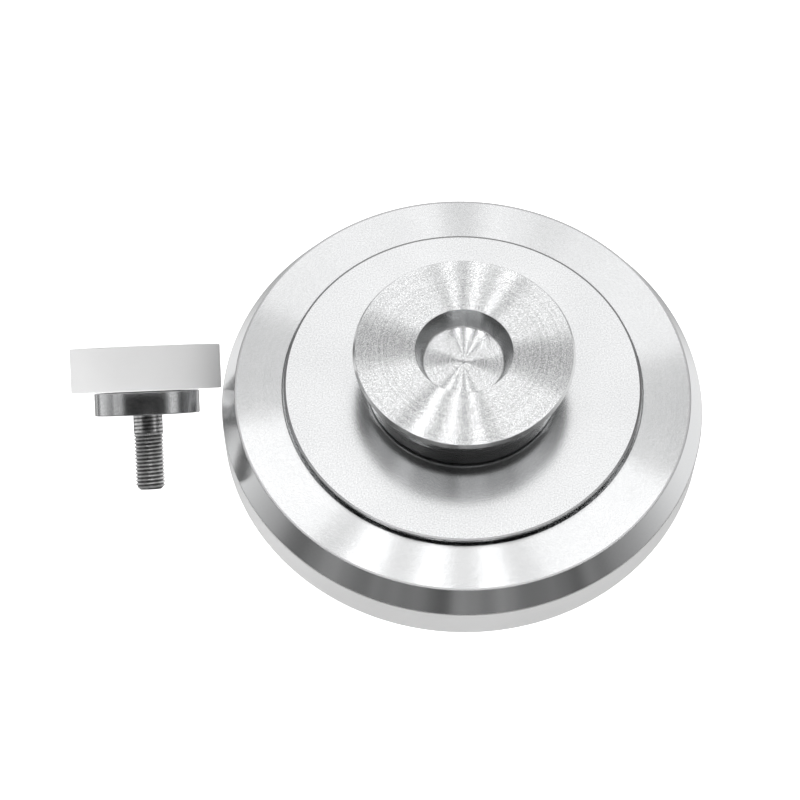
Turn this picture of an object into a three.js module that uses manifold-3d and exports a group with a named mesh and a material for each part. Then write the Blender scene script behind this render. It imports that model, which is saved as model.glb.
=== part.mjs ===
// Pottery trimming spinner: a nylon-footed steel wheel with a free-turning steel hub, and a small
// spare pad on a threaded stud that lies on the table beside it.
// Millimetres, +Z up. The origin is on the wheel's axis, at the table.
import * as THREE from 'three';
import { mergeVertices } from 'three/addons/utils/BufferGeometryUtils.js';
import Module from 'manifold-3d';

const wasm = await Module();
wasm.setup();

// ---- driving dimensions -------------------------------------------------------------------------
const WHEEL_RADIUS = 65;             // nylon pad and foot of the steel plate
const PAD_HEIGHT = 10.4;
const PLATE_TOP = 17;                // top face of the chamfered outer plate
const PLATE_TOP_RADIUS = 61.2;       // where the chamfer meets the top face
const PLATE_POCKET_RADIUS = 48.36;   // pocket that holds the inner disc
const PLATE_POCKET_FLOOR = 13;
const DISC_RADIUS = 47.9;
const DISC_TOP = 18.85;
const DISC_EDGE = 0.35;              // edge break round the inner disc
const BEARING_POCKET_RADIUS = 14.6;  // sunk in the inner disc, under the hub
const BEARING_POCKET_FLOOR = 15.6;

const HUB_TOP = 34.15;
const HUB_TOP_RADIUS = 28.6;
const HUB_RIM_RADIUS = 29.2;         // widest ring, just below the top edge
const HUB_RIM_DROP = 0.85;
const HUB_NECK_RADIUS = 25.8;        // straight neck, under a side that flares out to the rim
const HUB_NECK_TOP = 25;
const HUB_FOOT = 19.8;
const HUB_BOSS_RADIUS = 13.6;        // boss round the bearing
const HUB_BOSS_FOOT = 16.3;
const HUB_CAVITY_RADIUS = 9.2;       // room over the spindle head
const HUB_CAVITY_TOP = 27.4;
const RECESS_TOP_RADIUS = 12.9;      // finger recess in the top
const RECESS_FLOOR_RADIUS = 10.8;
const RECESS_FLOOR = 28.8;
const RECESS_CORNER_WIDTH = 0.4;     // slope where the recess wall meets its floor
const RECESS_CORNER_HEIGHT = 0.5;
const CENTRE_MARK_RADIUS = 0.6;      // lathe centre mark in the recess floor
const CENTRE_MARK_DEPTH = 0.3;

const BEARING_FOOT = 17.8;           // ball bearing 8 x 22 x 7
const BEARING_WIDTH = 7;
const BEARING_BORE_RADIUS = 4;
const BEARING_OUTER_RADIUS = 11;
const BALL_COUNT = 7;
const BALL_RADIUS = 1.98;
const BALL_PITCH_RADIUS = 7.5;
const GROOVE_RADIUS = 2.1;
const INNER_LAND_RADIUS = 6.05;
const OUTER_LAND_RADIUS = 8.9;
const SHIELD_SEAT_RADIUS = 9.6;
const SHIELD_SEAT_DEPTH = 0.8;
const SHIELD_THICKNESS = 0.35;
const SHIELD_INSET = 0.15;           // below the faces of the races
const SHIELD_INNER_GAP = 0.4;        // to the inner race
const CAGE_INNER_RADIUS = 6.9;
const CAGE_OUTER_RADIUS = 8.1;
const CAGE_BELOW_BALLS = 2.5;        // reach below and above the balls' middle
const CAGE_ABOVE_BALLS = 0.9;
const CAGE_POCKET_GAP = 0.12;
const CIRCLIP_THICKNESS = 1;
const CIRCLIP_INNER_RADIUS = 9.7;
const CIRCLIP_OUTER_RADIUS = 11.5;
const CIRCLIP_GAP_ANGLE = THREE.MathUtils.degToRad(40);
const FIT_GAP = 0.05;                // between the bearing and the hub
const SEAT_GAP = 0.1;                // round parts that lie in a groove or a seat

const THREAD_RADIUS = 3.9;           // M8, drawn at its outside size
const CLEARANCE_RADIUS = 4.3;        // hole for M8
const SPINDLE_HEAD_RADIUS = 6;
const SPINDLE_HEAD_HEIGHT = 2.2;
const SPINDLE_HEAD_CHAMFER = 0.4;
const SPINDLE_TIP_CHAMFER = 0.8;
const SOCKET_RADIUS = 2.6;           // hexagon socket, across corners
const SOCKET_DEPTH = 1.3;
const SPINDLE_FOOT = 6.1;
const SPACER_BORE_RADIUS = 4.1;
const SPACER_RADIUS = 5.6;
const NUT_HEIGHT = 4;
const NUT_CORNER_RADIUS = 7.5;
const NUT_POCKET_RADIUS = 9;
const NUT_POCKET_FLOOR = 5.4;

const PAD_SCREW_COUNT = 4;
const PAD_SCREW_CIRCLE = 30;
const PAD_SCREW_HEAD_RADIUS = 4;
const PAD_SCREW_RADIUS = 2;
const PAD_SCREW_HEAD_HEIGHT = 2.1;
const PAD_SCREW_TIP = 4;
const PAD_SCREW_SOCKET_RADIUS = 1.4; // hexagon socket, across corners
const PAD_SCREW_SOCKET_DEPTH = 1.2;
const PILOT_SPARE_DEPTH = 0.5;       // room under a screw's tip
const SCREW_CLEARANCE = 0.3;

const SPARE_X = -84.4;               // middle of the spare pad's stud side
const SPARE_Y = -6.4;
const SPARE_YAW = THREE.MathUtils.degToRad(6);
const SPARE_PAD_RADIUS = 20;
const SPARE_PAD_HEIGHT = 11.8;
const SPARE_FLANGE_RADIUS = 13.95;
const SPARE_FLANGE_HEIGHT = 6.35;
const SPARE_STUD_LENGTH = 20.1;      // beyond the flange
const SPARE_STUD_ROOT = 6;           // held inside the pad
const STUD_TIP_CHAMFER = 1.1;
const TURNED_GAP = 0.3;              // between the pieces of the tilted spare

const RING_SEGMENTS = 48;
const SMALL_SEGMENTS = 24;
const BALL_SEGMENTS = 12;
const CAGE_SEGMENTS = 42;
const GROOVE_STEPS = 6;
const OVERCUT = 1;                   // how far a cutter runs past the face it opens

// ---- materials ----------------------------------------------------------------------------------
function finish(color, roughness, metalness) {
  return () => new THREE.MeshStandardMaterial({ color, roughness, metalness });
}

const turnedSteel = finish(0xc4c6c8, 0.32, 1);
const bearingSteel = finish(0xb9bbbe, 0.18, 1);
const darkSteel = finish(0x5b5d60, 0.42, 1);
const nylon = finish(0xf1f1ef, 0.5, 0);
const cagePolymer = finish(0x8f7f5c, 0.6, 0);

// ---- helpers ------------------------------------------------------------------------------------
// A solid of revolution about +Z; outline points are [radius, height], anticlockwise.
function turned(outline, segments = RING_SEGMENTS) {
  const points = outline.map(([radius, height]) => new THREE.Vector2(radius, height));
  return new THREE.LatheGeometry(points, segments).rotateX(Math.PI / 2);
}

// A flat-ended ring: a closed outline with a hole through it.
function ring(innerRadius, outerRadius, foot, top, segments = SMALL_SEGMENTS) {
  const outline = [[innerRadius, foot], [outerRadius, foot], [outerRadius, top], [innerRadius, top]];
  return turned([...outline, outline[0]], segments);
}

function cylinder(radius, foot, top, segments = SMALL_SEGMENTS) {
  return turned([[0, foot], [radius, foot], [radius, top], [0, top]], segments);
}

function hexagonalPrism(cornerRadius, foot, top) {
  return cylinder(cornerRadius, foot, top, 6);
}

// Points round an arc in the outline's own plane, both ends included.
function arc(centreRadius, centreHeight, radius, from, to, steps) {
  return Array.from({ length: steps + 1 }, (_, i) => {
    const angle = from + (to - from) * i / steps;
    return [centreRadius + radius * Math.cos(angle), centreHeight + radius * Math.sin(angle)];
  });
}

function toManifold(geometry) {
  const bare = geometry.clone();
  bare.deleteAttribute('normal');
  bare.deleteAttribute('uv');
  const merged = mergeVertices(bare, 1e-4);
  const corners = merged.index.array;
  const kept = [];
  for (let i = 0; i < corners.length; i += 3) {
    const [a, b, c] = corners.slice(i, i + 3);
    if (a !== b && b !== c && c !== a) kept.push(a, b, c);
  }
  const mesh = new wasm.Mesh({
    numProp: 3,
    vertProperties: Float32Array.from(merged.attributes.position.array),
    triVerts: Uint32Array.from(kept),
  });
  return new wasm.Manifold(mesh);
}

function cut(geometry, cutters) {
  let solid = toManifold(geometry);
  for (const cutter of cutters) solid = solid.subtract(toManifold(cutter));
  const mesh = solid.getMesh();
  const result = new THREE.BufferGeometry();
  result.setAttribute('position', new THREE.BufferAttribute(mesh.vertProperties, 3));
  result.setIndex(new THREE.BufferAttribute(mesh.triVerts, 1));
  result.computeVertexNormals();
  return result;
}

// Copies of a geometry spread evenly round the wheel's axis.
function spread(makeGeometry, count, circleRadius, startAngle = 0) {
  return Array.from({ length: count }, (_, i) => {
    const angle = startAngle + i * 2 * Math.PI / count;
    return makeGeometry().translate(circleRadius * Math.cos(angle), circleRadius * Math.sin(angle), 0);
  });
}

function add(group, name, geometry, material) {
  const mesh = new THREE.Mesh(geometry, material);
  mesh.name = name;
  group.add(mesh);
}

// ---- the wheel: nylon pad, outer plate and inner disc ----------------------------------------------
const SCREW_START_ANGLE = Math.PI / PAD_SCREW_COUNT;

function nylonPad() {
  const pad = turned([
    [0, 0], [WHEEL_RADIUS, 0], [WHEEL_RADIUS, PAD_HEIGHT],
    [NUT_POCKET_RADIUS, PAD_HEIGHT], [NUT_POCKET_RADIUS, NUT_POCKET_FLOOR], [0, NUT_POCKET_FLOOR],
  ]);
  const pilotRadius = PAD_SCREW_RADIUS + SCREW_CLEARANCE / 2;
  const pilot = () => cylinder(pilotRadius, PAD_SCREW_TIP - PILOT_SPARE_DEPTH, PAD_HEIGHT + OVERCUT);
  return cut(pad, spread(pilot, PAD_SCREW_COUNT, PAD_SCREW_CIRCLE, SCREW_START_ANGLE));
}

function outerPlate() {
  const outline = [
    [CLEARANCE_RADIUS, PAD_HEIGHT], [WHEEL_RADIUS, PAD_HEIGHT], [PLATE_TOP_RADIUS, PLATE_TOP],
    [PLATE_POCKET_RADIUS, PLATE_TOP], [PLATE_POCKET_RADIUS, PLATE_POCKET_FLOOR],
    [CLEARANCE_RADIUS, PLATE_POCKET_FLOOR],
  ];
  const hole = () => turned([
    [0, PAD_HEIGHT - OVERCUT],
    [PAD_SCREW_RADIUS + SCREW_CLEARANCE, PAD_HEIGHT - OVERCUT],
    [PAD_SCREW_RADIUS + SCREW_CLEARANCE, PLATE_POCKET_FLOOR - PAD_SCREW_HEAD_HEIGHT],
    [PAD_SCREW_HEAD_RADIUS + SCREW_CLEARANCE, PLATE_POCKET_FLOOR],
    [PAD_SCREW_HEAD_RADIUS + SCREW_CLEARANCE, PLATE_POCKET_FLOOR + OVERCUT],
    [0, PLATE_POCKET_FLOOR + OVERCUT],
  ], SMALL_SEGMENTS);
  const plate = turned([...outline, outline[0]]);
  return cut(plate, spread(hole, PAD_SCREW_COUNT, PAD_SCREW_CIRCLE, SCREW_START_ANGLE));
}

function padScrew() {
  const headTop = PLATE_POCKET_FLOOR - SEAT_GAP;
  const screw = turned([
    [0, PAD_SCREW_TIP], [PAD_SCREW_RADIUS, PAD_SCREW_TIP],
    [PAD_SCREW_RADIUS, headTop - PAD_SCREW_HEAD_HEIGHT + SEAT_GAP], [PAD_SCREW_HEAD_RADIUS, headTop],
    [0, headTop],
  ], SMALL_SEGMENTS);
  const socketFloor = headTop - PAD_SCREW_SOCKET_DEPTH;
  const socket = hexagonalPrism(PAD_SCREW_SOCKET_RADIUS, socketFloor, headTop + OVERCUT);
  return cut(screw, [socket]);
}

function innerDisc() {
  const outline = [
    [CLEARANCE_RADIUS, PLATE_POCKET_FLOOR], [DISC_RADIUS, PLATE_POCKET_FLOOR],
    [DISC_RADIUS, DISC_TOP - DISC_EDGE], [DISC_RADIUS - DISC_EDGE, DISC_TOP],
    [BEARING_POCKET_RADIUS, DISC_TOP], [BEARING_POCKET_RADIUS, BEARING_POCKET_FLOOR],
    [CLEARANCE_RADIUS, BEARING_POCKET_FLOOR],
  ];
  return turned([...outline, outline[0]]);
}

// ---- the fixed spindle -----------------------------------------------------------------------------
const BEARING_TOP = BEARING_FOOT + BEARING_WIDTH;

function spindle() {
  const top = BEARING_TOP + SPINDLE_HEAD_HEIGHT;
  const screw = turned([
    [0, SPINDLE_FOOT], [THREAD_RADIUS - SPINDLE_TIP_CHAMFER, SPINDLE_FOOT],
    [THREAD_RADIUS, SPINDLE_FOOT + SPINDLE_TIP_CHAMFER],
    [THREAD_RADIUS, BEARING_TOP], [SPINDLE_HEAD_RADIUS, BEARING_TOP],
    [SPINDLE_HEAD_RADIUS, top - SPINDLE_HEAD_CHAMFER], [SPINDLE_HEAD_RADIUS - SPINDLE_HEAD_CHAMFER, top],
    [0, top],
  ], SMALL_SEGMENTS);
  return cut(screw, [hexagonalPrism(SOCKET_RADIUS, top - SOCKET_DEPTH, top + OVERCUT)]);
}

function spindleNut() {
  const nut = hexagonalPrism(NUT_CORNER_RADIUS, PAD_HEIGHT - NUT_HEIGHT, PAD_HEIGHT);
  const bore = cylinder(THREAD_RADIUS + SEAT_GAP, PAD_HEIGHT - NUT_HEIGHT - OVERCUT, PAD_HEIGHT + OVERCUT);
  return cut(nut, [bore]);
}

function bearingSpacer() {
  return ring(SPACER_BORE_RADIUS, SPACER_RADIUS, BEARING_POCKET_FLOOR, BEARING_FOOT);
}

// ---- the ball bearing --------------------------------------------------------------------------------
const BEARING_MIDDLE = BEARING_FOOT + BEARING_WIDTH / 2;

// Half the height of a race's groove where its arc meets a land of the given radius.
function grooveHalfAngle(landRadius) {
  return Math.acos(Math.abs(landRadius - BALL_PITCH_RADIUS) / GROOVE_RADIUS);
}

function innerRace() {
  const half = grooveHalfAngle(INNER_LAND_RADIUS);
  const groove = arc(BALL_PITCH_RADIUS, BEARING_MIDDLE, GROOVE_RADIUS, Math.PI + half, Math.PI - half,
    GROOVE_STEPS);
  const outline = [
    [BEARING_BORE_RADIUS, BEARING_FOOT], [INNER_LAND_RADIUS, BEARING_FOOT], ...groove,
    [INNER_LAND_RADIUS, BEARING_TOP], [BEARING_BORE_RADIUS, BEARING_TOP],
  ];
  return turned([...outline, outline[0]], SMALL_SEGMENTS);
}

function outerRace() {
  const half = grooveHalfAngle(OUTER_LAND_RADIUS);
  const groove = arc(BALL_PITCH_RADIUS, BEARING_MIDDLE, GROOVE_RADIUS, half, -half, GROOVE_STEPS);
  const outline = [
    [SHIELD_SEAT_RADIUS, BEARING_FOOT], [BEARING_OUTER_RADIUS, BEARING_FOOT],
    [BEARING_OUTER_RADIUS, BEARING_TOP], [SHIELD_SEAT_RADIUS, BEARING_TOP],
    [SHIELD_SEAT_RADIUS, BEARING_TOP - SHIELD_SEAT_DEPTH],
    [OUTER_LAND_RADIUS, BEARING_TOP - SHIELD_SEAT_DEPTH],
    ...groove,
    [OUTER_LAND_RADIUS, BEARING_FOOT + SHIELD_SEAT_DEPTH],
    [SHIELD_SEAT_RADIUS, BEARING_FOOT + SHIELD_SEAT_DEPTH],
  ];
  return turned([...outline, outline[0]], SMALL_SEGMENTS);
}

function ball() {
  return new THREE.SphereGeometry(BALL_RADIUS, BALL_SEGMENTS, BALL_SEGMENTS / 2 + 2)
    .translate(0, 0, BEARING_MIDDLE);
}

// A crown cage: a ring below the balls with a pocket for each of them.
function cage() {
  const foot = BEARING_MIDDLE - CAGE_BELOW_BALLS;
  const top = BEARING_MIDDLE + CAGE_ABOVE_BALLS;
  const crown = ring(CAGE_INNER_RADIUS, CAGE_OUTER_RADIUS, foot, top, CAGE_SEGMENTS);
  const pocket = () => new THREE.SphereGeometry(BALL_RADIUS + CAGE_POCKET_GAP, BALL_SEGMENTS, BALL_SEGMENTS)
    .translate(0, 0, BEARING_MIDDLE);
  return cut(crown, spread(pocket, BALL_COUNT, BALL_PITCH_RADIUS));
}

function shield(foot) {
  const innerRadius = INNER_LAND_RADIUS + SHIELD_INNER_GAP;
  return ring(innerRadius, SHIELD_SEAT_RADIUS - SEAT_GAP, foot, foot + SHIELD_THICKNESS);
}

// A split retaining ring that lies in the hub's groove under the bearing.
function circlip() {
  const start = CIRCLIP_GAP_ANGLE / 2;
  const end = 2 * Math.PI - start;
  const outline = new THREE.Shape();
  outline.absarc(0, 0, CIRCLIP_OUTER_RADIUS, start, end, false);
  outline.absarc(0, 0, CIRCLIP_INNER_RADIUS, end, start, true);
  outline.closePath();
  const settings = { depth: CIRCLIP_THICKNESS, bevelEnabled: false, curveSegments: SMALL_SEGMENTS / 2 };
  const foot = BEARING_FOOT - CIRCLIP_THICKNESS - SEAT_GAP;
  return new THREE.ExtrudeGeometry(outline, settings).translate(0, 0, foot);
}

// ---- the turning hub ---------------------------------------------------------------------------------
function hub() {
  const bore = BEARING_OUTER_RADIUS + FIT_GAP;
  const seat = BEARING_TOP + FIT_GAP;
  const grooveRadius = CIRCLIP_OUTER_RADIUS + SEAT_GAP;
  const grooveTop = BEARING_FOOT - FIT_GAP;
  const grooveFoot = BEARING_FOOT - CIRCLIP_THICKNESS - 2 * SEAT_GAP;
  return turned([
    [0, HUB_CAVITY_TOP], [HUB_CAVITY_RADIUS, HUB_CAVITY_TOP], [HUB_CAVITY_RADIUS, seat], [bore, seat],
    [bore, grooveTop], [grooveRadius, grooveTop], [grooveRadius, grooveFoot], [bore, grooveFoot],
    [bore, HUB_BOSS_FOOT], [HUB_BOSS_RADIUS, HUB_BOSS_FOOT], [HUB_BOSS_RADIUS, HUB_FOOT],
    [HUB_NECK_RADIUS, HUB_FOOT], [HUB_NECK_RADIUS, HUB_NECK_TOP],
    [HUB_RIM_RADIUS, HUB_TOP - HUB_RIM_DROP], [HUB_TOP_RADIUS, HUB_TOP], [RECESS_TOP_RADIUS, HUB_TOP],
    [RECESS_FLOOR_RADIUS + RECESS_CORNER_WIDTH, RECESS_FLOOR + RECESS_CORNER_HEIGHT],
    [RECESS_FLOOR_RADIUS, RECESS_FLOOR], [CENTRE_MARK_RADIUS, RECESS_FLOOR],
    [0, RECESS_FLOOR - CENTRE_MARK_DEPTH],
  ]);
}

// ---- the spare pad, in its own upright frame: stud along +Z, stud side of the pad at z = 0 ------------
function sparePad() {
  const holeRadius = THREAD_RADIUS + TURNED_GAP;
  const holeFloor = -SPARE_STUD_ROOT - TURNED_GAP;
  return turned([
    [0, -SPARE_PAD_HEIGHT], [SPARE_PAD_RADIUS, -SPARE_PAD_HEIGHT], [SPARE_PAD_RADIUS, 0],
    [holeRadius, 0], [holeRadius, holeFloor], [0, holeFloor],
  ]);
}

function spareFlange() {
  const foot = TURNED_GAP;
  return ring(THREAD_RADIUS + TURNED_GAP, SPARE_FLANGE_RADIUS, foot, SPARE_FLANGE_HEIGHT, RING_SEGMENTS);
}

function spareStud() {
  const tip = SPARE_FLANGE_HEIGHT + SPARE_STUD_LENGTH;
  return turned([
    [0, -SPARE_STUD_ROOT], [THREAD_RADIUS, -SPARE_STUD_ROOT], [THREAD_RADIUS, tip - STUD_TIP_CHAMFER],
    [THREAD_RADIUS - STUD_TIP_CHAMFER, tip], [0, tip],
  ], SMALL_SEGMENTS);
}

// ---- assembly ------------------------------------------------------------------------------------------
const spinner = new THREE.Group();

add(spinner, 'nylon_pad', nylonPad(), nylon());
add(spinner, 'outer_plate', outerPlate(), turnedSteel());
add(spinner, 'inner_disc', innerDisc(), turnedSteel());
spread(padScrew, PAD_SCREW_COUNT, PAD_SCREW_CIRCLE, SCREW_START_ANGLE)
  .forEach((geometry, i) => add(spinner, `pad_screw_${i + 1}`, geometry, darkSteel()));

add(spinner, 'spindle', spindle(), darkSteel());
add(spinner, 'spindle_nut', spindleNut(), darkSteel());
add(spinner, 'bearing_spacer', bearingSpacer(), darkSteel());

add(spinner, 'bearing_inner_race', innerRace(), bearingSteel());
add(spinner, 'bearing_outer_race', outerRace(), bearingSteel());
spread(ball, BALL_COUNT, BALL_PITCH_RADIUS)
  .forEach((geometry, i) => add(spinner, `bearing_ball_${i + 1}`, geometry, bearingSteel()));
add(spinner, 'bearing_cage', cage(), cagePolymer());
add(spinner, 'bearing_shield_lower', shield(BEARING_FOOT + SHIELD_INSET), bearingSteel());
add(spinner, 'bearing_shield_upper', shield(BEARING_TOP - SHIELD_INSET - SHIELD_THICKNESS), bearingSteel());
add(spinner, 'bearing_circlip', circlip(), darkSteel());
add(spinner, 'hub', hub(), turnedSteel());

// The spare rests on the rim of its pad and on the end of its stud.
const studContact = SPARE_FLANGE_HEIGHT + SPARE_STUD_LENGTH - STUD_TIP_CHAMFER;
const spareTilt = Math.atan2(SPARE_PAD_RADIUS - THREAD_RADIUS, studContact);
const spareHeading = new THREE.Group();
spareHeading.position.set(SPARE_X, SPARE_Y, SPARE_PAD_RADIUS * Math.cos(spareTilt));
spareHeading.rotation.z = SPARE_YAW;
const spare = new THREE.Group();
spare.rotation.x = Math.PI / 2 + spareTilt;
add(spare, 'spare_pad', sparePad(), nylon());
add(spare, 'spare_flange', spareFlange(), turnedSteel());
add(spare, 'spare_stud', spareStud(), darkSteel());
spareHeading.add(spare);
spinner.add(spareHeading);

export default spinner;
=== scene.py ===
"""Looks of the pottery trimming spinner and its spare pad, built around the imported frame.

Metres, +Z up, origin on the wheel's axis at the table. Outlines are [radius, height, rounding]
corners in millimetres, anticlockwise, and every turned piece is one of them swept round its axis.
"""

import math

import bpy
from mathutils import Matrix, Vector


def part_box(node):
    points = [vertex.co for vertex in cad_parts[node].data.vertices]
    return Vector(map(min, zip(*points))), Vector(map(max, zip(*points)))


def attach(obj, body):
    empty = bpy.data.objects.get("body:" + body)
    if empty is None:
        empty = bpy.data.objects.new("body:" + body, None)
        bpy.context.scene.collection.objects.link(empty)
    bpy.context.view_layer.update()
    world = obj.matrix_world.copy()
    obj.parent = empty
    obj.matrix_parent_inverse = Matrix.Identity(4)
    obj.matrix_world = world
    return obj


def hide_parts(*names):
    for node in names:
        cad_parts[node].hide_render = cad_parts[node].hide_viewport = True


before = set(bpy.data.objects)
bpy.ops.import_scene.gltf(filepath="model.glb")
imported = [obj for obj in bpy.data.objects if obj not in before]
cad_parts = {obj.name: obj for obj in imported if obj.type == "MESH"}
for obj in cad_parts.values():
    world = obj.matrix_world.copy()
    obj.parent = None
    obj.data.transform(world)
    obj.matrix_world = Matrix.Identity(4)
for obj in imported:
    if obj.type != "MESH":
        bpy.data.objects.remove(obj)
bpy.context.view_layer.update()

MM = 0.001

# ---- fineness of the meshes ----------------------------------------------------------------------
SEGMENTS = 288                 # steps round a turned piece
FLOOR_SEGMENTS = 64
THREAD_SEGMENTS = 96
THREAD_STEPS = 12              # rings of vertices in one turn of the thread
ROUNDING_STEPS = 5             # steps along a rounded edge
ON_THE_AXIS = 1e-6             # mm; a ring smaller than this is a single point
LEVEL = 0.8                    # a face lies level if its normal has at least this much Z
TURNING_MAP = "turning"        # turns round the axis, and metres along the outline

# ---- camera --------------------------------------------------------------------------------------
CAMERA_PLACE = Vector((0.0, -0.2977, 0.4977))
CAMERA_TARGET = Vector((-0.01725, 0.00824, -0.00585))
CAMERA_LENS = 94.8             # mm
SENSOR_WIDTH = 36.0            # mm
CLIP_START = 0.01

# ---- the room, which the steel mirrors -----------------------------------------------------------
# Stops of (height of a direction, brightness), where -1 is straight down and 1 is straight up.
ROOM_NEAR = [(-1.0, 0.25), (0.0, 0.25), (0.1, 0.14), (0.2, 0.16), (0.31, 1.05), (0.42, 1.0), (0.56, 0.03),
             (1.0, 0.02)]
ROOM_FAR = [(-1.0, 0.4), (-0.74, 0.4), (-0.58, 1.15), (-0.2, 1.1), (0.1, 0.85), (0.3, 0.85), (0.7, 0.12),
            (1.0, 0.1)]
ROOM_DEPTH_SPAN = (-0.55, 0.25)   # from the near side to the far side, as the Y of a direction
ROOM_STREAKS = 5.0             # soft upright streaks in the near side
ROOM_STREAK_SPAN = (0.3, 0.7)  # the noise values that give the darkest and the brightest streak
ROOM_UNEVEN = (0.45, 1.55)     # and how bright those are, as a share of the stops' brightness
ROOM_SHADE_X = -0.80           # a dark upright band at the left of the far side
ROOM_SHADE = 0.18              # brightness in its middle, as a share
ROOM_SHADE_WIDTH = 0.13        # from the band's middle to its edge

# ---- petals of light overhead, in metres and degrees ---------------------------------------------
PANEL_HEIGHT = 0.9
MIRRORED_Y = 0.511             # the place overhead that the viewer sees mirrored in the hub's flat top
PETAL_STRETCH = 1.349          # from front to back, so that bearings look even in the mirrored view
PETAL_STEPS = 24
PETALS_NEAR_EDGE = -0.13       # no petal comes nearer to the viewer
CENTRE_REACH = 0.27
CENTRE_BRIGHTNESS = 1.3
FAR_PETALS = [(206, 262), (273, 288), (298, 341)]      # bearings; each petal is a bright sector on the steel
FAR_REACH = 0.60
FAR_BRIGHTNESS = 1.5
SIDE_PETALS = [(15, 62), (135, 175)]
SIDE_REACH = 0.48
SIDE_BRIGHTNESS = 3.0
NEAR_PETALS = [(73, 81), (92, 102), (114, 124)]
NEAR_REACH = 0.95
NEAR_BRIGHTNESS = 6.5

# ---- fill light for the spare, and the floor -----------------------------------------------------
FILL_SIZE = 0.06
FILL_ENERGY = 0.008
FILL_SPREAD = math.radians(50)
FILL_PLACE = Vector((-0.115, -0.15, 0.05))
FILL_TARGET = Vector((-0.09, -0.03, 0.02))
FLOOR_RADIUS = 2.5
FLOOR_THICKNESS = 4            # mm
FLOOR_GLOW = 1.25              # the floor gives light, so that it stays white and lights the nylon walls

# ---- shapes that the CAD boxes don't give, in mm -------------------------------------------------
SPINDLE_HOLE_RADIUS = 4.3
NUT_POCKET_RADIUS = 9
NUT_POCKET_FLOOR = 5.4
PLATE_TOP_RADIUS = 61.2        # where the sloping edge meets the flat ring
PLATE_POCKET_RADIUS = 48.36    # pocket that holds the inner disc
BEARING_POCKET_RADIUS = 14.6   # sunk in the inner disc, under the hub
BEARING_POCKET_FLOOR = 15.6

HUB_TOP_RADIUS = 28.6
HUB_RIM_DROP = 0.85            # from the top edge to the widest ring
HUB_NECK_RADIUS = 25.8         # straight neck, under a side that flares out to the rim
HUB_NECK_TOP = 25.0
HUB_FOOT = 19.8
HUB_BOSS_RADIUS = 13.6         # boss round the bearing
HUB_CAVITY_RADIUS = 9.2        # room over the spindle head
HUB_CAVITY_TOP = 27.4
BEARING_GAP = 0.05             # between the bearing and the hub
CIRCLIP_GROOVE_DEPTH = 0.6
CIRCLIP_GROOVE_HEIGHT = 1.2    # from its foot to the bearing
RECESS_TOP_RADIUS = 12.9       # finger recess in the top
RECESS_FLOOR_RADIUS = 10.8
RECESS_FLOOR = 28.8
CENTRE_MARK_RADIUS = 0.6       # lathe centre mark in the recess floor
CENTRE_MARK_DEPTH = 0.3

THREAD_PITCH = 1.0
THREAD_DEPTH = 0.46
THREAD_VALLEY = 0.12           # share of a turn, from valley to ridge, that is flat valley
THREAD_FLANK = 0.72            # and that is slope; the rest is flat ridge
THREAD_END = 0.3               # the thread runs out over this length at the tip
SHANK_LENGTH = 4.8             # plain part of the stud next to the flange
SHANK_UNDERCUT = 0.03
STUD_CHAMFER = 1.1
STUD_GAP = 0.3                 # between the stud and the pieces that it goes into
SPARE_PAD_INSET = 0.01         # keeps the tilted pad within the box of its CAD solid

# ---- rounding of the edges, in mm ----------------------------------------------------------------
PAD_EDGE = 0.35
NUT_POCKET_EDGE = 0.2
PLATE_EDGE = 0.25
PLATE_RIM_WIDTH = 0.55         # dull outer edge of the flat ring
DISC_EDGE = 0.1
DISC_BEVEL_WIDTH = 0.6         # shallow rougher bevel round the disc, painted dark to show the thin shadow line round it
DISC_BEVEL_DROP = 0.15
HUB_EDGE = 0.15
HUB_CAVITY_EDGE = 0.5
HUB_BORE_EDGE = 0.2
HUB_BOSS_EDGE = 0.3
HUB_FOOT_EDGE = 0.25
HUB_NECK_EDGE = 0.4
RECESS_EDGE = 0.2
RECESS_FLOOR_EDGE = 0.8
CENTRE_MARK_EDGE = 0.1
SPARE_PAD_EDGE = 0.3
SPARE_HOLE_EDGE = 0.1
FLANGE_FOOT_EDGE = 0.2
FLANGE_TOP_EDGE = 0.25
FLANGE_HOLE_EDGE = 0.15

# ---- finishes ------------------------------------------------------------------------------------
BLACK = (0.0, 0.0, 0.0, 1.0)
WHITE = (1.0, 1.0, 1.0, 1.0)
BRIGHT_STEEL = ((0.50, 0.505, 0.51), (0.82, 0.825, 0.83))      # the darkest and the lightest tone
WALL_STEEL = ((0.58, 0.585, 0.59), (0.70, 0.705, 0.71))
FLANGE_STEEL = ((0.42, 0.425, 0.43), (0.66, 0.665, 0.67))
EDGE_STEEL = ((0.36, 0.36, 0.365), (0.48, 0.48, 0.485))
# painted shadow: this dark tone on the disc's bevel stands in for the thin shadow line round the disc
SHADED_BEVEL_STEEL = ((0.28, 0.28, 0.285), (0.38, 0.38, 0.385))
SCREW_STEEL = ((0.34, 0.345, 0.35), (0.46, 0.465, 0.47))
BEARING_STEEL = ((0.62, 0.625, 0.63), (0.72, 0.725, 0.73))
# the dark end also gives the painted shade in the thread's valleys, and the light end the painted highlight
# on its ridges
THREAD_STEEL = ((0.15, 0.15, 0.15), (0.82, 0.82, 0.82))
FLOOR_TONES = ((0.40, 0.40, 0.40), (0.42, 0.42, 0.42))

FINE_RINGS = 40000.0           # noise scales, per metre
BROAD_RINGS = 900.0
SPECKLES = 2600.0
STEEL_CLOUDS = 45.0
SPECKLE_IN_TONE = 0.7          # share of the speckle in the steel's tone; clouds give the rest
SPECKLE_IN_ROUGHNESS = 0.4     # and in its roughness, where the broad rings give the rest
ROUGHNESS_SPREAD = 0.03
ACROSS_THE_RINGS = 0.25        # turns the long highlights across the tool rings

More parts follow.
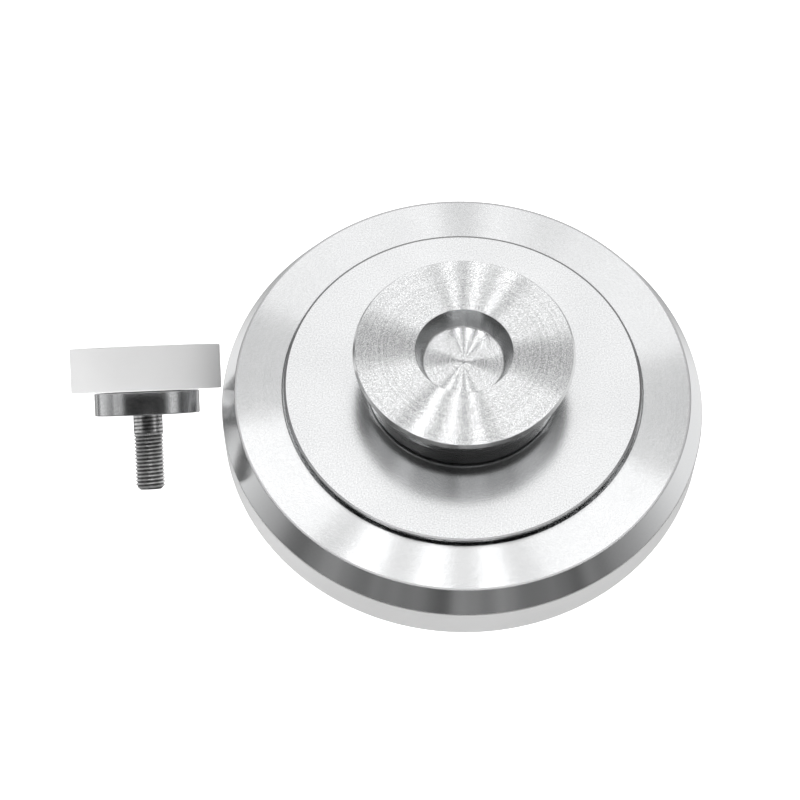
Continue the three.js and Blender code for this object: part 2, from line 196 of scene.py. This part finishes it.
OIL_PATCHES = 900.0
OIL_CONTRAST = 1.2
CLEAN_STEEL = 0.7              # the patch noise that leaves the thread's own tone as it is
# strength of the painted highlight on the thread's ridges and of the painted shade in its valleys
PAINTED_RIDGE_SHADING = 1.5
THREAD_ROUGHNESS = (0.26, 0.40)

NYLON_RINGS = 2600.0
NYLON_CLOUDS = 60.0
NYLON_ROUGHNESS = (0.40, 0.52)
NYLON_RING_DEPTH = 0.00002
NYLON_SCATTER = 0.15           # share of the light that enters the nylon
NYLON_SCATTER_REACH = (0.004, 0.004, 0.004)   # how far red, green and blue spread in it
NYLON_SCATTER_SCALE = 0.5
FLOOR_CLOUDS = 8.0
FLOOR_ROUGHNESS = 0.7
FLOOR_SPECULAR = 0.1

MIX_SHARE = 0                  # sockets of a Mix node that mixes colours
MIX_FIRST = 6
MIX_SECOND = 7
MIX_RESULT = 2


# ---- sizes read from the frame, in mm ------------------------------------------------------------
def low(node):
    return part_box(node)[0] / MM


def high(node):
    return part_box(node)[1] / MM


WHEEL_RADIUS = high("nylon_pad").x
PAD_TOP = high("nylon_pad").z
PLATE_TOP = high("outer_plate").z
DISC_RADIUS = high("inner_disc").x
DISC_FOOT = low("inner_disc").z
DISC_TOP = high("inner_disc").z
HUB_TOP = high("hub").z
HUB_BOSS_FOOT = low("hub").z
HUB_RIM_RADIUS = high("hub").x
BEARING_FOOT = low("bearing_outer_race").z
BEARING_TOP = high("bearing_outer_race").z
BEARING_RADIUS = high("bearing_outer_race").x


# ---- mesh building -------------------------------------------------------------------------------
def add_object(name, data):
    """A new object in the scene."""
    added = bpy.data.objects.new(name, data)
    bpy.context.scene.collection.objects.link(added)
    return added


def mapped_piece(name, vertices, faces, smooth, places, normals=None):
    """A mesh object. Each face has a smooth flag; each corner of a face has a place on the turning map."""
    mesh = bpy.data.meshes.new(name)
    mesh.from_pydata(vertices, [], faces)
    mesh.polygons.foreach_set("use_smooth", smooth)
    if normals is not None:
        mesh.normals_split_custom_set(normals)
    turning = mesh.uv_layers.new(name=TURNING_MAP)
    turning.uv.foreach_set("vector", [value for place in places for value in place])
    mesh.update()
    return add_object(name, mesh)


def rounded_corner(previous, corner, following, rounding):
    """The arc that rounds a corner of an outline, as steps of (point, normal)."""
    before = (corner - previous).normalized()
    after = (following - corner).normalized()
    turn = math.atan2(before.x * after.y - before.y * after.x, before.dot(after))
    reach = rounding * math.tan(abs(turn) / 2)
    side = math.copysign(1.0, turn)
    start = corner - before * reach
    centre = start + Vector((-before.y, before.x)) * rounding * side
    arc = []
    for step in range(ROUNDING_STEPS + 1):
        spoke = Matrix.Rotation(turn * step / ROUNDING_STEPS, 2) @ (start - centre)
        arc.append((centre + spoke, spoke.normalized() * side))
    return arc


def spans_of(corners, closed):
    """The outline as spans of (point, normal, point, normal), with its corners rounded."""
    count = len(corners)
    points = [Vector(corner[:2]) for corner in corners]
    arcs = []
    for i, corner in enumerate(corners):
        rounding = corner[2] if len(corner) > 2 else 0.0
        at_end = not closed and i in (0, count - 1)
        if at_end or rounding <= 0:
            arcs.append([(points[i], None)])
        else:
            arcs.append(rounded_corner(points[i - 1], points[i], points[(i + 1) % count], rounding))
    spans = []
    for i, arc in enumerate(arcs):
        spans += [(*first, *second) for first, second in zip(arc, arc[1:])]
        if i + 1 < count or closed:
            start = arc[-1][0]
            end = arcs[(i + 1) % count][0][0]
            along = (end - start).normalized()
            normal = Vector((along.y, -along.x))
            spans.append((start, normal, end, normal))
    return spans


def turned(name, corners, closed=False, segments=SEGMENTS):
    """A solid of revolution about the Z axis, with exact surface normals and a map of the turning."""
    spans = spans_of(corners, closed)
    profile = [span[0] for span in spans]
    if not closed:
        profile.append(spans[-1][2])
    travel = [0.0]
    for start, _, end, _ in spans:
        travel.append(travel[-1] + (end - start).length * MM)

    angles = [2 * math.pi * k / segments for k in range(segments)]
    vertices = []
    rings = []
    for point in profile:
        if point.x < ON_THE_AXIS:
            rings.append([len(vertices)] * segments)
            vertices.append((0.0, 0.0, point.y * MM))
            continue
        rings.append(list(range(len(vertices), len(vertices) + segments)))
        vertices += [(point.x * math.cos(a) * MM, point.x * math.sin(a) * MM, point.y * MM) for a in angles]

    faces = []
    normals = []
    places = []
    for i, (_, start_normal, _, end_normal) in enumerate(spans):
        lower = rings[i]
        upper = rings[(i + 1) % len(rings)]
        for k in range(segments):
            ahead = (k + 1) % segments
            square = [(lower[k], start_normal, k, i), (lower[ahead], start_normal, k + 1, i),
                      (upper[ahead], end_normal, k + 1, i + 1), (upper[k], end_normal, k, i + 1)]
            face = []
            for corner in square:
                if corner[0] not in [kept[0] for kept in face]:
                    face.append(corner)
            faces.append([corner[0] for corner in face])
            for _, normal, turn, step in face:
                angle = angles[turn % segments]
                normals.append((normal.x * math.cos(angle), normal.x * math.sin(angle), normal.y))
                places.append((turn / segments, travel[step]))
    return mapped_piece(name, vertices, faces, [True] * len(faces), places, normals)


def shaped_bar(name, radius_at, foot, top, step, segments):
    """A closed round bar whose radius is a function of angle and height, with flat ends."""
    ring_count = round((top - foot) / step) + 1
    heights = [foot + (top - foot) * i / (ring_count - 1) for i in range(ring_count)]
    vertices = []
    for height in heights:
        for k in range(segments):
            angle = 2 * math.pi * k / segments
            radius = radius_at(angle, height)
            vertices.append((radius * math.cos(angle) * MM, radius * math.sin(angle) * MM, height * MM))
    faces = []
    places = []
    for i in range(ring_count - 1):
        lower = i * segments
        upper = lower + segments
        for k in range(segments):
            ahead = (k + 1) % segments
            faces.append((lower + k, lower + ahead, upper + ahead, upper + k))
            for turn, height in ((k, heights[i]), (k + 1, heights[i]), (k + 1, heights[i + 1]),
                                 (k, heights[i + 1])):
                places.append((turn / segments, height * MM))
    smooth = [True] * len(faces) + [False, False]
    faces.append(tuple(reversed(range(segments))))
    places += [(k / segments, heights[0] * MM) for k in reversed(range(segments))]
    faces.append(tuple(range((ring_count - 1) * segments, ring_count * segments)))
    places += [(k / segments, heights[-1] * MM) for k in range(segments)]
    return mapped_piece(name, vertices, faces, smooth, places)


def stands_for(piece, node, body, material, wall_material=None):
    """Puts a piece in a node's place. Its walls, which don't lie level, may have their own finish."""
    piece.data.materials.append(material)
    if wall_material is not None:
        piece.data.materials.append(wall_material)
        for face in piece.data.polygons:
            face.material_index = 1 if abs(face.normal.z) < LEVEL else 0
    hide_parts(node)
    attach(piece, body)


def finish_rim(piece, radius, material):
    """Gives the upward faces outside a radius, in mm, their own finish."""
    piece.data.materials.append(material)
    rim_slot = len(piece.data.materials) - 1
    for face in piece.data.polygons:
        if face.normal.z > LEVEL and face.center.xy.length > radius * MM:
            face.material_index = rim_slot


# ---- node building -------------------------------------------------------------------------------
class Nodes:
    """A short way to write a node tree. A value is a socket to link from, or a constant."""

    def __init__(self, tree):
        self.tree = tree

    def feed(self, socket, value):
        if isinstance(value, bpy.types.NodeSocket):
            self.tree.links.new(value, socket)
        else:
            socket.default_value = value

    def feed_all(self, node, values):
        """Feeds inputs by their names, in which _ stands for a space."""
        for name, value in values.items():
            self.feed(node.inputs[name.replace("_", " ")], value)

    def add(self, kind, settings=None, **values):
        node = self.tree.nodes.new(kind)
        for name, setting in (settings or {}).items():
            setattr(node, name, setting)
        self.feed_all(node, values)
        return node

    def math(self, operation, first, second=0.0):
        node = self.add("ShaderNodeMath", {"operation": operation})
        self.feed(node.inputs[0], first)
        self.feed(node.inputs[1], second)
        return node.outputs[0]

    def vector_math(self, operation, first, second=None, **values):
        node = self.add("ShaderNodeVectorMath", {"operation": operation}, **values)
        self.feed(node.inputs[0], first)
        if second is not None:
            self.feed(node.inputs[1], second)
        return node.outputs["Value" if operation == "LENGTH" else "Vector"]

    def between(self, value, low_value, high_value, span=(0.0, 1.0), smooth=False):
        """value, which runs over span, stretched to run from low_value to high_value."""
        return self.add(
            "ShaderNodeMapRange", {"interpolation_type": "SMOOTHSTEP" if smooth else "LINEAR"}, Value=value,
            From_Min=span[0], From_Max=span[1], To_Min=low_value, To_Max=high_value,
        ).outputs["Result"]

    def blended(self, first, second, share):
        """Two numbers added, where share is how much the second counts."""
        return self.math("ADD", self.math("MULTIPLY", first, 1 - share), self.math("MULTIPLY", second, share))

    def mixed(self, share, first, second):
        """Two colours mixed, from the first to the second as share runs from 0 to 1."""
        node = self.add("ShaderNodeMix", {"data_type": "RGBA"})
        self.feed(node.inputs[MIX_SHARE], share)
        self.feed(node.inputs[MIX_FIRST], first)
        self.feed(node.inputs[MIX_SECOND], second)
        return node.outputs[MIX_RESULT]

    def tinted(self, share, tones):
        """A colour between a dark and a light tone."""
        dark, light = tones
        return self.mixed(share, (*dark, 1.0), (*light, 1.0))

    def noise(self, place, scale, detail=2.0):
        return self.add("ShaderNodeTexNoise", Vector=place, Scale=scale, Detail=detail).outputs["Fac"]

    def line_noise(self, place, scale, detail=2.0):
        """Noise that depends on one number, such as the distance along an outline."""
        node = self.add("ShaderNodeTexNoise", {"noise_dimensions": "1D"}, W=place, Scale=scale, Detail=detail)
        return node.outputs["Fac"]


class MaterialNodes(Nodes):
    """The node tree of a new material."""

    def __init__(self, name):
        self.material = bpy.data.materials.new(name)
        self.material.use_nodes = True
        super().__init__(self.material.node_tree)
        self.shader = self.tree.nodes["Principled BSDF"]

    def finish(self, **values):
        """Feeds the shader, and gives the material."""
        self.feed_all(self.shader, values)
        return self.material

    def place(self):
        return self.add("ShaderNodeTexCoord").outputs["Object"]

    def map_place(self):
        """How many turns round the axis a point is, and how many metres along the outline."""
        spot = self.add("ShaderNodeUVMap", {"uv_map": TURNING_MAP}).outputs[0]
        parts = self.add("ShaderNodeSeparateXYZ", Vector=spot)
        return parts.outputs["X"], parts.outputs["Y"]

    def turning(self, place, mapped):
        """How far along the outline a point is, and the direction round the axis.

        A piece without a turning map is taken to be turned about the wheel's axis.
        """
        if mapped:
            _, along = self.map_place()
            tangent = self.add("ShaderNodeTangent", {"direction_type": "UV_MAP", "uv_map": TURNING_MAP})
            return along, tangent.outputs[0]
        parts = self.add("ShaderNodeSeparateXYZ", Vector=place)
        flat = self.add("ShaderNodeCombineXYZ", X=parts.outputs["X"], Y=parts.outputs["Y"])
        radius = self.vector_math("LENGTH", flat.outputs[0])
        tangent = self.add("ShaderNodeTangent", {"direction_type": "RADIAL", "axis": "Z"})
        return self.math("ADD", radius, parts.outputs["Z"]), tangent.outputs[0]

    def leaning(self, tangent, amount):
        """The surface normal, leaning across the tool rings by amount."""
        normal = self.add("ShaderNodeNewGeometry").outputs["Normal"]
        across = self.vector_math("CROSS_PRODUCT", normal, tangent)
        lean = self.vector_math("SCALE", across, Scale=amount)
        return self.vector_math("NORMALIZE", self.vector_math("ADD", normal, lean))

    def bump(self, height, distance):
        return self.add("ShaderNodeBump", Height=height, Distance=distance, Strength=1.0).outputs["Normal"]


# ---- material building ---------------------------------------------------------------------------
def grey(level):
    return (level, level, level)


def turned_metal(name, tones, roughness, anisotropy, lean=0.0, speckled=0.3, mapped=True):
    """Metal with the rings that a lathe tool leaves, and the long highlights that come with them."""
    nodes = MaterialNodes(name)
    place = nodes.place()
    along, tangent = nodes.turning(place, mapped)
    fine_rings = nodes.line_noise(along, FINE_RINGS, detail=0.0)
    broad_rings = nodes.line_noise(along, BROAD_RINGS, detail=3.0)
    speckle = nodes.noise(place, SPECKLES, detail=1.0)
    cloud = nodes.noise(place, STEEL_CLOUDS, detail=3.0)
    tone = nodes.blended(cloud, nodes.between(speckle, 0.5 - speckled, 0.5 + speckled), SPECKLE_IN_TONE)
    uneven = nodes.blended(broad_rings, speckle, SPECKLE_IN_ROUGHNESS)
    return nodes.finish(
        Base_Color=nodes.tinted(tone, tones),
        Metallic=1.0,
        Roughness=nodes.between(uneven, roughness - ROUGHNESS_SPREAD, roughness + ROUGHNESS_SPREAD),
        Anisotropic=anisotropy,
        Anisotropic_Rotation=ACROSS_THE_RINGS,
        Tangent=tangent,
        Normal=nodes.leaning(tangent, nodes.between(fine_rings, -lean, lean)),
    )


def threaded_steel(name):
    """Dull screw steel with random oil patches, a painted highlight on the thread's ridges and painted shade
    in its valleys.
    """
    nodes = MaterialNodes(name)
    turns, along = nodes.map_place()
    climb = nodes.math("MULTIPLY", along, 1 / (THREAD_PITCH * MM))
    phase = nodes.math("FRACT", nodes.math("SUBTRACT", climb, turns))
    from_ridge = nodes.math("ABSOLUTE", nodes.math("SUBTRACT", nodes.math("MULTIPLY", phase, 2.0), 1.0))
    # painted highlight and shade: lighter on the thread's ridges, darker in its valleys
    ridge = nodes.math("MULTIPLY", nodes.math("SUBTRACT", 1.0, from_ridge), PAINTED_RIDGE_SHADING)
    patchy = nodes.noise(nodes.place(), OIL_PATCHES, detail=3.0)
    oil = nodes.math("MULTIPLY", nodes.math("SUBTRACT", patchy, CLEAN_STEEL), OIL_CONTRAST)
    return nodes.finish(
        Base_Color=nodes.tinted(nodes.math("ADD", ridge, oil), THREAD_STEEL),
        Metallic=1.0,
        Roughness=nodes.between(patchy, *THREAD_ROUGHNESS),
    )


def machined_nylon(name, dark, light, mapped=True):
    """White nylon with faint tool rings and a soft, slightly translucent surface."""
    nodes = MaterialNodes(name)
    place = nodes.place()
    along, _ = nodes.turning(place, mapped)
    rings = nodes.line_noise(along, NYLON_RINGS)
    cloud = nodes.noise(place, NYLON_CLOUDS, detail=3.0)
    return nodes.finish(
        Base_Color=nodes.tinted(cloud, (grey(dark), grey(light))),
        Roughness=nodes.between(rings, *NYLON_ROUGHNESS),
        Subsurface_Weight=NYLON_SCATTER,
        Subsurface_Radius=NYLON_SCATTER_REACH,
        Subsurface_Scale=NYLON_SCATTER_SCALE,
        Normal=nodes.bump(rings, NYLON_RING_DEPTH),
    )


def floor_paint():
    """Pale matt paint that glows."""
    nodes = MaterialNodes("floor_paint")
    return nodes.finish(
        Base_Color=nodes.tinted(nodes.noise(nodes.place(), FLOOR_CLOUDS), FLOOR_TONES),
        Roughness=FLOOR_ROUGHNESS,
        Specular_IOR_Level=FLOOR_SPECULAR,
        Emission_Color=WHITE,
        Emission_Strength=FLOOR_GLOW,
    )


def glowing(name, brightness):
    """A surface that gives light and reflects no colour."""
    nodes = MaterialNodes(name)
    return nodes.finish(Base_Color=BLACK, Emission_Color=WHITE, Emission_Strength=brightness)


# ---- materials -----------------------------------------------------------------------------------
hub_steel = turned_metal("hub_steel", BRIGHT_STEEL, roughness=0.23, anisotropy=1.0, lean=0.7, speckled=1.3)
plate_steel = turned_metal("plate_steel", BRIGHT_STEEL, roughness=0.20, anisotropy=1.0, lean=0.12,
                           speckled=0.5)
disc_steel = turned_metal("disc_steel", BRIGHT_STEEL, roughness=0.20, anisotropy=0.3, lean=0.05, speckled=0.8)
wall_steel = turned_metal("wall_steel", WALL_STEEL, roughness=0.16, anisotropy=0.5, lean=0.03)
flange_steel = turned_metal("flange_steel", FLANGE_STEEL, roughness=0.20, anisotropy=0.7, lean=0.10,
                            speckled=1.0)
edge_steel = turned_metal("edge_steel", EDGE_STEEL, roughness=0.28, anisotropy=0.3)
shaded_bevel_steel = turned_metal("shaded_bevel_steel", SHADED_BEVEL_STEEL, roughness=0.32, anisotropy=0.3)
screw_steel = turned_metal("screw_steel", SCREW_STEEL, roughness=0.34, anisotropy=0.4, mapped=False)
bearing_steel = turned_metal("bearing_steel", BEARING_STEEL, roughness=0.14, anisotropy=0.4, mapped=False)
stud_steel = threaded_steel("stud_steel")
# painted shade: the wheel's pad is the same white nylon as the spare's pad, in a darker tone that stands in
# for the shade on its walls
shaded_wheel_nylon = machined_nylon("shaded_wheel_nylon", dark=0.64, light=0.71)
spare_nylon = machined_nylon("spare_nylon", dark=0.84, light=0.90)
cage_plastic = machined_nylon("cage_plastic", dark=0.68, light=0.75, mapped=False)


# ---- the wheel -----------------------------------------------------------------------------------
def build_pad():
    """The nylon foot, with a pocket for the nut in its top."""
    pad = turned("nylon_pad_turned", [
        [0, 0], [WHEEL_RADIUS, 0, PAD_EDGE], [WHEEL_RADIUS, PAD_TOP, PAD_EDGE],
        [NUT_POCKET_RADIUS, PAD_TOP, NUT_POCKET_EDGE], [NUT_POCKET_RADIUS, NUT_POCKET_FLOOR, NUT_POCKET_EDGE],
        [0, NUT_POCKET_FLOOR],
    ])
    stands_for(pad, "nylon_pad", "base", shaded_wheel_nylon)


def build_plate():
    """The steel plate with its sloping edge, and a dull line where that meets the flat ring."""
    rim_radius = PLATE_TOP_RADIUS - PLATE_RIM_WIDTH
    plate = turned("outer_plate_turned", [
        [SPINDLE_HOLE_RADIUS, PAD_TOP], [WHEEL_RADIUS, PAD_TOP, PLATE_EDGE],
        [PLATE_TOP_RADIUS, PLATE_TOP, PLATE_EDGE], [rim_radius, PLATE_TOP],
        [PLATE_POCKET_RADIUS, PLATE_TOP, PLATE_EDGE], [PLATE_POCKET_RADIUS, DISC_FOOT],
        [SPINDLE_HOLE_RADIUS, DISC_FOOT],
    ], closed=True)
    stands_for(plate, "outer_plate", "base", plate_steel, wall_steel)
    finish_rim(plate, rim_radius, edge_steel)


def build_disc():
    """The raised disc in the plate's pocket, with a rougher bevel round it painted dark as a thin shadow
    line, and a pocket for the bearing.
    """
    bevel_radius = DISC_RADIUS - DISC_BEVEL_WIDTH
    disc = turned("inner_disc_turned", [
        [SPINDLE_HOLE_RADIUS, DISC_FOOT], [DISC_RADIUS, DISC_FOOT, DISC_EDGE],
        [DISC_RADIUS, DISC_TOP - DISC_BEVEL_DROP, DISC_EDGE], [bevel_radius, DISC_TOP],
        [BEARING_POCKET_RADIUS, DISC_TOP, DISC_EDGE], [BEARING_POCKET_RADIUS, BEARING_POCKET_FLOOR],
        [SPINDLE_HOLE_RADIUS, BEARING_POCKET_FLOOR],
    ], closed=True)
    stands_for(disc, "inner_disc", "base", disc_steel, wall_steel)
    # painted shadow: the bevel's dark tone stands in for the thin shadow line round the disc
    finish_rim(disc, bevel_radius, shaded_bevel_steel)


def build_hub():
    """The hub: a bore for the bearing below, and the finger recess with its lathe centre mark above."""
    bore = BEARING_RADIUS + BEARING_GAP
    bore_top = BEARING_TOP + BEARING_GAP
    groove = BEARING_RADIUS + CIRCLIP_GROOVE_DEPTH
    groove_top = BEARING_FOOT - BEARING_GAP
    groove_foot = BEARING_FOOT - CIRCLIP_GROOVE_HEIGHT
    hub = turned("hub_turned", [
        [0, HUB_CAVITY_TOP], [HUB_CAVITY_RADIUS, HUB_CAVITY_TOP, HUB_CAVITY_EDGE],
        [HUB_CAVITY_RADIUS, bore_top], [bore, bore_top],
        [bore, groove_top], [groove, groove_top], [groove, groove_foot], [bore, groove_foot],
        [bore, HUB_BOSS_FOOT, HUB_BORE_EDGE], [HUB_BOSS_RADIUS, HUB_BOSS_FOOT, HUB_BOSS_EDGE],
        [HUB_BOSS_RADIUS, HUB_FOOT, HUB_BOSS_EDGE], [HUB_NECK_RADIUS, HUB_FOOT, HUB_FOOT_EDGE],
        [HUB_NECK_RADIUS, HUB_NECK_TOP, HUB_NECK_EDGE], [HUB_RIM_RADIUS, HUB_TOP - HUB_RIM_DROP, HUB_EDGE],
        [HUB_TOP_RADIUS, HUB_TOP, HUB_EDGE], [RECESS_TOP_RADIUS, HUB_TOP, RECESS_EDGE],
        [RECESS_FLOOR_RADIUS, RECESS_FLOOR, RECESS_FLOOR_EDGE],
        [CENTRE_MARK_RADIUS, RECESS_FLOOR, CENTRE_MARK_EDGE], [0, RECESS_FLOOR - CENTRE_MARK_DEPTH],
    ])
    stands_for(hub, "hub", "turning_hub", hub_steel, wall_steel)


# ---- the spare pad -------------------------------------------------------------------------------
def mean_place(node):
    """The middle of a CAD node's surface."""
    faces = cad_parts[node].data.polygons
    return sum((face.center * face.area for face in faces), Vector()) / sum(face.area for face in faces)


def spare_pose():
    """Where the spare lies: its axis runs from pad to stud, from the middle of the pad's stud side."""
    middle = mean_place("spare_pad")
    axis = (mean_place("spare_stud") - middle).normalized()
    across = Vector((0, 0, 1)).cross(axis).normalized()
    stud_side = max(vertex.co.dot(axis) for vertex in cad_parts["spare_pad"].data.vertices)
    start = middle + axis * (stud_side - middle.dot(axis))
    turn = Matrix((across, axis.cross(across), axis)).transposed().to_4x4()
    return Matrix.Translation(start) @ turn


def extent(node, into_spare):
    """Lowest height, highest height and greatest radius of a CAD node on the spare's own axis, in mm."""
    points = [into_spare @ vertex.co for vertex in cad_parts[node].data.vertices]
    heights = [point.z / MM for point in points]
    return min(heights), max(heights), max(point.xy.length / MM for point in points)


def clamped(value):
    return min(max(value, 0.0), 1.0)


def thread_radius(outer, start, tip):
    """Radius of a right-hand thread from start to tip, running out at both, with a chamfered tip."""

    def radius_at(angle, height):
        if height < start:
            return min(outer - SHANK_UNDERCUT, outer - STUD_CHAMFER + (tip - height))
        phase = (height / THREAD_PITCH - angle / (2 * math.pi)) % 1.0
        up_the_turn = 1.0 - abs(2.0 * phase - 1.0)
        ridge = clamped((up_the_turn - THREAD_VALLEY) / THREAD_FLANK)
        shown = clamped((height - start) / THREAD_PITCH) * clamped((tip - height) / THREAD_END)
        return min(outer - THREAD_DEPTH * (1.0 - ridge) * shown, outer - STUD_CHAMFER + (tip - height))

    return radius_at


def build_spare():
    """The spare pad, its flange and its threaded stud, made upright and then laid down."""
    pose = spare_pose()
    into_spare = pose.inverted()
    pad_foot, pad_top, pad_radius = extent("spare_pad", into_spare)
    flange_foot, flange_top, flange_radius = extent("spare_flange", into_spare)
    stud_foot, stud_tip, stud_radius = extent("spare_stud", into_spare)
    hole = stud_radius + STUD_GAP
    hole_foot = stud_foot - STUD_GAP
    side = pad_radius - SPARE_PAD_INSET
    pad = turned("spare_pad_turned", [
        [0, pad_foot], [side, pad_foot, SPARE_PAD_EDGE], [side, pad_top, SPARE_PAD_EDGE],
        [hole, pad_top, SPARE_HOLE_EDGE], [hole, hole_foot], [0, hole_foot],
    ])
    flange = turned("spare_flange_turned", [
        [hole, flange_foot], [flange_radius, flange_foot, FLANGE_FOOT_EDGE],
        [flange_radius, flange_top, FLANGE_TOP_EDGE], [hole, flange_top, FLANGE_HOLE_EDGE],
    ], closed=True)
    radius_at = thread_radius(stud_radius, flange_top + SHANK_LENGTH, stud_tip)
    stud = shaped_bar("spare_stud_threaded", radius_at, stud_foot, stud_tip,
                      THREAD_PITCH / THREAD_STEPS, THREAD_SEGMENTS)
    for piece, node, slot, material in (
        (pad, "spare_pad", "nylon", spare_nylon),
        (flange, "spare_flange", "turned_steel", flange_steel),
        (stud, "spare_stud", "screw_steel", stud_steel),
    ):
        piece.data.transform(pose)
        stands_for(piece, node, "spare", material)


# ---- hidden CAD pieces keep their shape and get their finish -------------------------------------
def finish_hidden_pieces():
    finishes = {"pad_screw": screw_steel, "spindle": screw_steel, "bearing_spacer": screw_steel,
                "bearing_circlip": screw_steel, "bearing_cage": cage_plastic}
    rebuilt = {"nylon_pad", "outer_plate", "inner_disc", "hub", "spare_pad", "spare_flange", "spare_stud"}
    for node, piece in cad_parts.items():
        if node in rebuilt:
            continue
        material = next((finishes[start] for start in finishes if node.startswith(start)), bearing_steel)
        piece.data.materials.clear()
        piece.data.materials.append(material)


# ---- floor, room, lights and camera --------------------------------------------------------------
def build_floor():
    """A round white floor, which the steel doesn't mirror."""
    radius = FLOOR_RADIUS / MM
    outline = [[0, -FLOOR_THICKNESS], [radius, -FLOOR_THICKNESS], [radius, 0], [0, 0]]
    floor = turned("floor", outline, segments=FLOOR_SEGMENTS)
    floor.data.materials.append(floor_paint())
    floor.visible_glossy = False


def by_height(nodes, height, stops):
    """A grey that follows stops of (height, brightness)."""
    ramp = nodes.add("ShaderNodeValToRGB", Fac=nodes.between(height, 0.0, 1.0, span=(-1.0, 1.0)))
    ramp.color_ramp.interpolation = "EASE"
    while len(ramp.color_ramp.elements) < len(stops):
        ramp.color_ramp.elements.new(0.5)
    for element, (stop, brightness) in zip(ramp.color_ramp.elements, stops):
        element.position = (stop + 1) / 2
        element.color = (*grey(brightness), 1.0)
    return ramp.outputs["Color"]


def build_world():
    """A pale room. The far side has a dark band at its left, and the near side has soft streaks."""
    world = bpy.data.worlds.new("room")
    world.use_nodes = True
    bpy.context.scene.world = world
    nodes = Nodes(world.node_tree)
    direction = nodes.add("ShaderNodeTexCoord").outputs["Generated"]
    across, depth, height = nodes.add("ShaderNodeSeparateXYZ", Vector=direction).outputs
    streaks = nodes.between(nodes.line_noise(across, ROOM_STREAKS), *ROOM_UNEVEN, span=ROOM_STREAK_SPAN)
    near = nodes.vector_math("SCALE", by_height(nodes, height, ROOM_NEAR), Scale=streaks)
    from_band = nodes.math("ABSOLUTE", nodes.math("SUBTRACT", across, ROOM_SHADE_X))
    shade = nodes.between(from_band, ROOM_SHADE, 1.0, span=(0.0, ROOM_SHADE_WIDTH), smooth=True)
    far = nodes.vector_math("SCALE", by_height(nodes, height, ROOM_FAR), Scale=shade)
    farness = nodes.between(depth, 0.0, 1.0, span=ROOM_DEPTH_SPAN, smooth=True)
    nodes.feed(world.node_tree.nodes["Background"].inputs["Color"], nodes.mixed(farness, near, far))


def petal_corner(bearing, reach):
    """A point overhead, on a bearing from the place mirrored in the hub, no nearer than the near edge."""
    x = math.cos(bearing)
    y = -PETAL_STRETCH * math.sin(bearing)
    if y < 0:
        reach = min(reach, (PETALS_NEAR_EDGE - MIRRORED_Y) / y)
    return (x * reach, MIRRORED_Y + y * reach, PANEL_HEIGHT)


def light_petal(name, first, last, inner, outer, brightness):
    """A flat glowing petal overhead, between two bearings and two reaches."""
    bearings = [math.radians(first + (last - first) * i / PETAL_STEPS) for i in range(PETAL_STEPS + 1)]
    corners = [petal_corner(bearing, outer) for bearing in bearings]
    if inner > 0:
        corners += [petal_corner(bearing, inner) for bearing in reversed(bearings)]
    mesh = bpy.data.meshes.new(name)
    mesh.from_pydata(corners, [], [tuple(range(len(corners)))])
    mesh.materials.append(glowing(name, brightness))
    add_object(name, mesh)


def aimed(place, target):
    """The pose of a light or camera that looks from place to target."""
    turn = (target - place).to_track_quat("-Z", "Y").to_matrix().to_4x4()
    return Matrix.Translation(place) @ turn


def light_spare():
    """A small soft light low beside the spare, too weak to show on the wheel."""
    data = bpy.data.lights.new("fill", "AREA")
    data.size = FILL_SIZE
    data.energy = FILL_ENERGY
    data.spread = FILL_SPREAD
    light = add_object("fill", data)
    light.matrix_world = aimed(FILL_PLACE, FILL_TARGET)
    light.visible_glossy = False
    light.visible_camera = False


def build_lights():
    """The fill light, and the petals overhead, which the turned steel spreads into bright sectors."""
    light_spare()
    light_petal("light_centre", 0, 360, 0, CENTRE_REACH, CENTRE_BRIGHTNESS)
    for name, petals, reach, brightness in (
        ("light_far", FAR_PETALS, FAR_REACH, FAR_BRIGHTNESS),
        ("light_side", SIDE_PETALS, SIDE_REACH, SIDE_BRIGHTNESS),
        ("light_near", NEAR_PETALS, NEAR_REACH, NEAR_BRIGHTNESS),
    ):
        for first, last in petals:
            light_petal(name, first, last, CENTRE_REACH, reach, brightness)


def build_camera():
    data = bpy.data.cameras.new("camera")
    data.lens = CAMERA_LENS
    data.sensor_width = SENSOR_WIDTH
    data.clip_start = CLIP_START
    camera = add_object("camera", data)
    camera.matrix_world = aimed(CAMERA_PLACE, CAMERA_TARGET)
    bpy.context.scene.camera = camera


build_camera()
build_floor()
build_world()
build_lights()
build_pad()
build_plate()
build_disc()
build_hub()
build_spare()
finish_hidden_pieces()
bpy.context.scene.view_settings.view_transform = "Standard"
